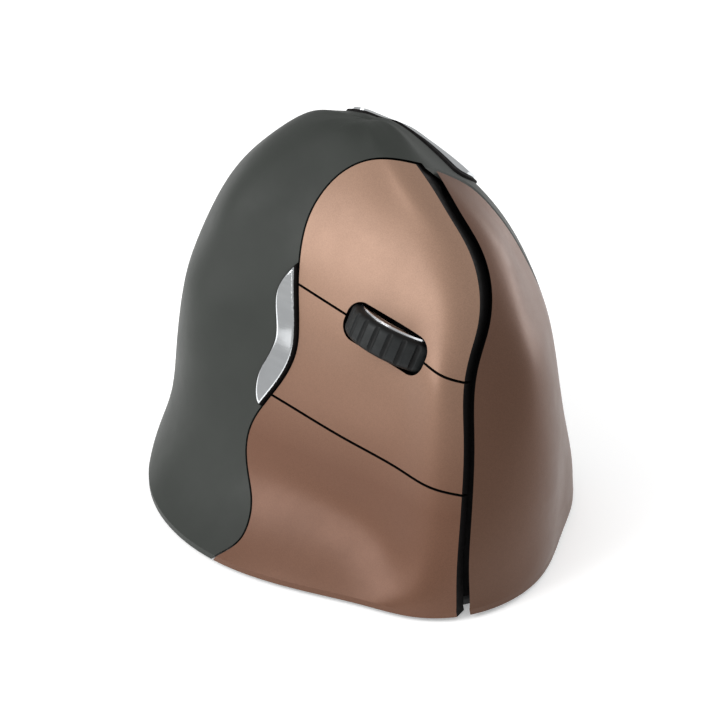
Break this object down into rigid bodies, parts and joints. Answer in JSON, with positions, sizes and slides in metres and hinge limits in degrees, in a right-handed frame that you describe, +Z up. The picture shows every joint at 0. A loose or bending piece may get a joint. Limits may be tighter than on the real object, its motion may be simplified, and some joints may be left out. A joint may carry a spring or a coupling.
{
  "type": "vertical ergonomic mouse",
  "caption": "Right-hand vertical computer mouse with tilted finger buttons, scroll wheel, thumb-side buttons, chrome trims and glide feet.",
  "frame": {"origin": "on the desk, under the middle of the body's outline", "axes": "+Z up from the desk, +Y towards the nose, +X towards the side that the fingers lie on"},
  "size_m": [0.0836, 0.102, 0.0814],
  "materials": {
    "dark_satin_plastic": "satin",
    "copper_plastic": "satin metallic lacquer",
    "bronze_plastic": "satin metallic lacquer",
    "chrome_trim": "polished",
    "black_plastic": "matte",
    "wheel_rubber": "matte",
    "clear_lens": "clear",
    "steel": "plain",
    "screw_steel": "black zinc",
    "circuit_board": "solder mask",
    "component_black": "moulded",
    "component_pale": "moulded",
    "shield_metal": "tin plate",
    "base_plastic": "fine grain",
    "glide_film": "smooth slick film",
    "battery_wrap": "printed film wrap",
    "ribbon_film": "satin film"
  },
  "bodies": {
    "housing": {"main_shell": "dark_satin_plastic", "nose_panel": "bronze_plastic", "chrome_side_trim": "chrome_trim", "top_plate": "chrome_trim", "slot_liner": "black_plastic", "indicator_lens": "clear_lens", "hinge_pins": "steel", "upright_frame": "black_plastic", "upright_board": "circuit_board", "index_switch": "component_black", "middle_switch": "component_black", "ring_switch": "component_black", "carrier_pin": "steel", "wheel_switch": "component_black", "encoder_light": "clear_lens", "encoder_sensor": "component_black", "base_plate": "base_plastic", "glide_feet": "glide_film", "base_screws": "screw_steel", "board_screws": "screw_steel", "frame_screws": "screw_steel", "battery": "battery_wrap", "battery_contacts": "steel", "battery_spring": "steel", "main_board": "circuit_board", "sensor_lens": "clear_lens", "sensor_chip": "component_black", "controller_chip": "component_black", "radio_module": "shield_metal", "clock_crystal": "shield_metal", "power_switch": "component_black", "pairing_switch": "component_black", "thumb_board": "circuit_board", "thumb_switches": "component_black", "indicator_lamp": "component_pale", "ribbon_sockets": "component_pale", "upright_ribbon": "ribbon_film", "thumb_ribbon": "ribbon_film"},
    "index_click": {"index_button": "copper_plastic", "index_plunger": "component_pale"},
    "middle_click": {"middle_button": "copper_plastic", "middle_plunger": "component_pale"},
    "ring_click": {"ring_button": "copper_plastic", "ring_plunger": "component_pale"},
    "wheel_rocker": {"wheel_carrier": "black_plastic", "wheel_plunger": "component_pale"},
    "wheel": {"wheel_tyre": "wheel_rubber", "wheel_hub": "black_plastic", "wheel_ring": "chrome_trim", "wheel_axle": "steel"},
    "forward_key": {"forward_button": "copper_plastic", "forward_plunger": "component_pale"},
    "back_key": {"back_button": "copper_plastic", "back_plunger": "component_pale"},
    "speed_key": {"speed_button": "copper_plastic", "speed_plunger": "component_pale"},
    "pairing_key": {"pairing_button": "base_plastic"},
    "power_knob": {"power_slider": "base_plastic"},
    "door": {"battery_door": "base_plastic"}
  },
  "joints": [
    {"name": "index_press", "type": "hinge", "parent": "housing", "child": "index_click", "pos_m": [0.00242, -0.00819, 0.05892], "axis": [-0.4226, 0, 0.9063], "range_deg": [0, 0.8], "stiffness_Nm_per_rad": 0.5, "springref_deg": -0.34},
    {"name": "middle_press", "type": "hinge", "parent": "housing", "child": "middle_click", "pos_m": [0.01051, -0.00819, 0.04061], "axis": [-0.4226, 0, 0.9063], "range_deg": [0, 0.8], "stiffness_Nm_per_rad": 0.5, "springref_deg": -0.34},
    {"name": "ring_press", "type": "hinge", "parent": "housing", "child": "ring_click", "pos_m": [0.01955, -0.00819, 0.01838], "axis": [-0.4226, 0, 0.9063], "range_deg": [0, 0.8], "stiffness_Nm_per_rad": 0.5, "springref_deg": -0.34},
    {"name": "wheel_press", "type": "hinge", "parent": "housing", "child": "wheel_rocker", "pos_m": [0.00459, -0.00281, 0.05022], "axis": [-0.4163, 0.1719, 0.8928], "range_deg": [0, 1.2], "stiffness_Nm_per_rad": 0.5, "springref_deg": -0.57},
    {"name": "wheel_spin", "type": "hinge", "parent": "wheel_rocker", "child": "wheel", "pos_m": [0.00587, 0.01452, 0.04748], "axis": [-0.4163, 0.1719, 0.8928], "continuous": true},
    {"name": "forward_press", "type": "slide", "parent": "housing", "child": "forward_key", "axis": [1, 0, 0], "range_m": [0, 0.0004], "stiffness_N_per_m": 300, "springref_m": -0.0003},
    {"name": "back_press", "type": "slide", "parent": "housing", "child": "back_key", "axis": [1, 0, 0], "range_m": [0, 0.0004], "stiffness_N_per_m": 300, "springref_m": -0.0003},
    {"name": "speed_press", "type": "slide", "parent": "housing", "child": "speed_key", "axis": [1, 0, 0], "range_m": [0, 0.0004], "stiffness_N_per_m": 300, "springref_m": -0.0003},
    {"name": "pairing_press", "type": "slide", "parent": "housing", "child": "pairing_key", "axis": [0, 0, 1], "range_m": [0, 0.0004], "stiffness_N_per_m": 300, "springref_m": -0.0003},
    {"name": "power_slide", "type": "slide", "parent": "housing", "child": "power_knob", "axis": [0, 1, 0], "range_m": [0, 0.003]},
    {"name": "door_release", "type": "slide", "parent": "housing", "child": "door", "axis": [0, 0, -1], "range_m": [0, 0.012]}
  ]
}
